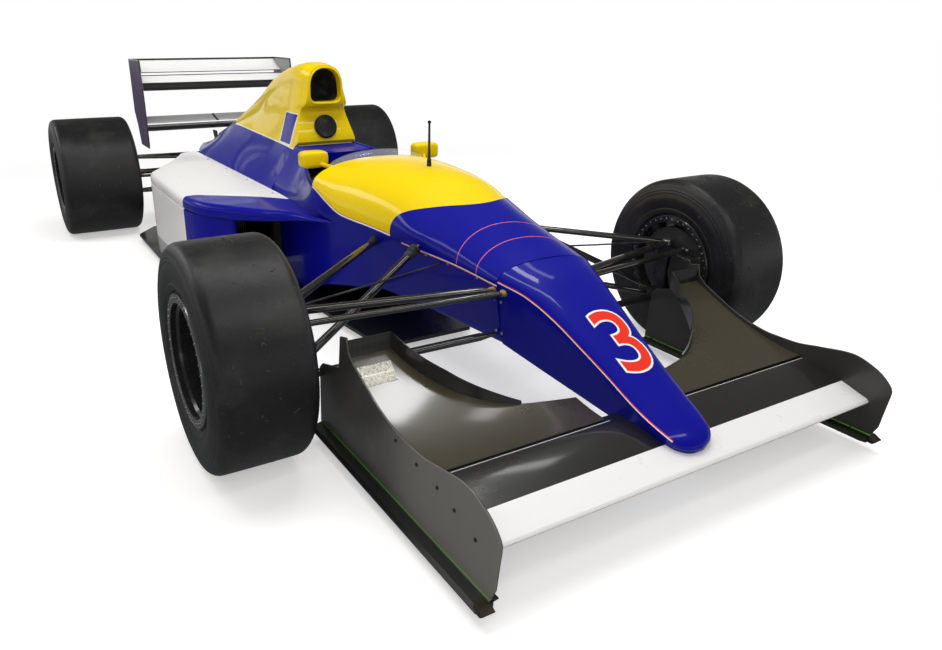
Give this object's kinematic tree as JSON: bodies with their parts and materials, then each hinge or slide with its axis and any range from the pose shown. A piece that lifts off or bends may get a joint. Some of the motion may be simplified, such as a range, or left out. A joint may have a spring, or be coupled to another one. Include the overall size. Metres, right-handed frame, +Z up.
{
  "type": "open wheel racing car",
  "caption": "Single-seat open wheel racing car with front and rear wings, side pods, steered front wheels and freely turning slick-tyred wheels.",
  "frame": {"origin": "on the floor under the middle of the car's length and width", "axes": "+Z up, -Y towards the nose, +X towards the car's left side"},
  "size_m": [2.096, 4.346, 1.004],
  "materials": {
    "blue_paint": "gloss paint",
    "yellow_paint": "gloss paint",
    "white_paint": "gloss paint",
    "clear_screen": "clear plastic",
    "carbon": "lacquered carbon weave",
    "black_pad": "foam pad",
    "black_grip": "suede grip",
    "bare_metal": "cast and machined",
    "red_lens": "clear red plastic",
    "radiator_core": "finned core",
    "endplate_grey": "worn satin carbon",
    "violet_paint": "gloss paint",
    "black_metal": "satin black",
    "dark_steel": "black coated tube",
    "wheel_black": "gloss black magnesium",
    "tyre_rubber": "slick tyre"
  },
  "bodies": {
    "root": {"nose_cone": "blue_paint", "monocoque": "blue_paint", "suspension_cover": "blue_paint", "cockpit_cowl": "yellow_paint", "windscreen": "clear_screen", "driver_seat": "carbon", "headrest": "black_pad", "steering_column": "bare_metal", "engine_cover": "yellow_paint", "engine_block": "bare_metal", "gearbox": "bare_metal", "rain_light": "red_lens", "left_sidepod": "white_paint", "right_sidepod": "white_paint", "radiators": "radiator_core", "floor_panel": "carbon", "diffuser": "carbon", "front_wing": "carbon", "front_flaps": "carbon", "front_endplates": "endplate_grey", "rear_wing": "white_paint", "beam_wing": "white_paint", "rear_endplates": "violet_paint", "rear_wing_posts": "black_metal", "mirrors": "yellow_paint", "antenna": "black_metal", "front_wishbones": "dark_steel", "front_pushrods": "dark_steel", "rear_wishbones": "dark_steel", "rear_uprights": "black_metal"},
    "left_knuckle": {"left_front_upright": "black_metal"},
    "right_knuckle": {"right_front_upright": "black_metal"},
    "rack": {"track_rods": "dark_steel"},
    "hand_wheel": {"steering_wheel": "black_grip"},
    "left_front_wheel": {"left_front_rim": "wheel_black", "left_front_tyre": "tyre_rubber"},
    "left_rear_wheel": {"left_rear_rim": "wheel_black", "left_rear_tyre": "tyre_rubber", "left_drive_shaft": "bare_metal"},
    "right_front_wheel": {"right_front_rim": "wheel_black", "right_front_tyre": "tyre_rubber"},
    "right_rear_wheel": {"right_rear_rim": "wheel_black", "right_rear_tyre": "tyre_rubber", "right_drive_shaft": "bare_metal"}
  },
  "joints": [
    {"name": "left_steer", "type": "hinge", "parent": "root", "child": "left_knuckle", "pos_m": [0.7705, -1.238, 0.296], "axis": [0, 0, 1], "range_deg": [-14, 14]},
    {"name": "right_steer", "type": "hinge", "parent": "root", "child": "right_knuckle", "pos_m": [-0.7705, -1.238, 0.296], "axis": [0, 0, 1], "range_deg": [-14, 14]},
    {"name": "rack_slide", "type": "slide", "parent": "root", "child": "rack", "axis": [1, 0, 0], "range_m": [-0.0222, 0.0222]},
    {"name": "steering_wheel_turn", "type": "hinge", "parent": "root", "child": "hand_wheel", "pos_m": [0, -0.313, 0.53], "axis": [0, 0.9397, 0.342], "range_deg": [-175.5, 175.5]},
    {"name": "left_front_spin", "type": "hinge", "parent": "left_knuckle", "child": "left_front_wheel", "pos_m": [0.9015, -1.248, 0.316], "axis": [1, 0, 0], "continuous": true},
    {"name": "left_rear_spin", "type": "hinge", "parent": "root", "child": "left_rear_wheel", "pos_m": [0.838, 1.673, 0.33], "axis": [1, 0, 0], "continuous": true},
    {"name": "right_front_spin", "type": "hinge", "parent": "right_knuckle", "child": "right_front_wheel", "pos_m": [-0.9015, -1.248, 0.316], "axis": [1, 0, 0], "continuous": true},
    {"name": "right_rear_spin", "type": "hinge", "parent": "root", "child": "right_rear_wheel", "pos_m": [-0.838, 1.673, 0.33], "axis": [1, 0, 0], "continuous": true}
  ],
  "couplings": [
    {"joint": "right_steer", "follows": "left_steer", "ratio": 1},
    {"joint": "rack_slide", "follows": "left_steer", "m_per_rad": 0.0891},
    {"joint": "steering_wheel_turn", "follows": "left_steer", "ratio": 12.5}
  ]
}
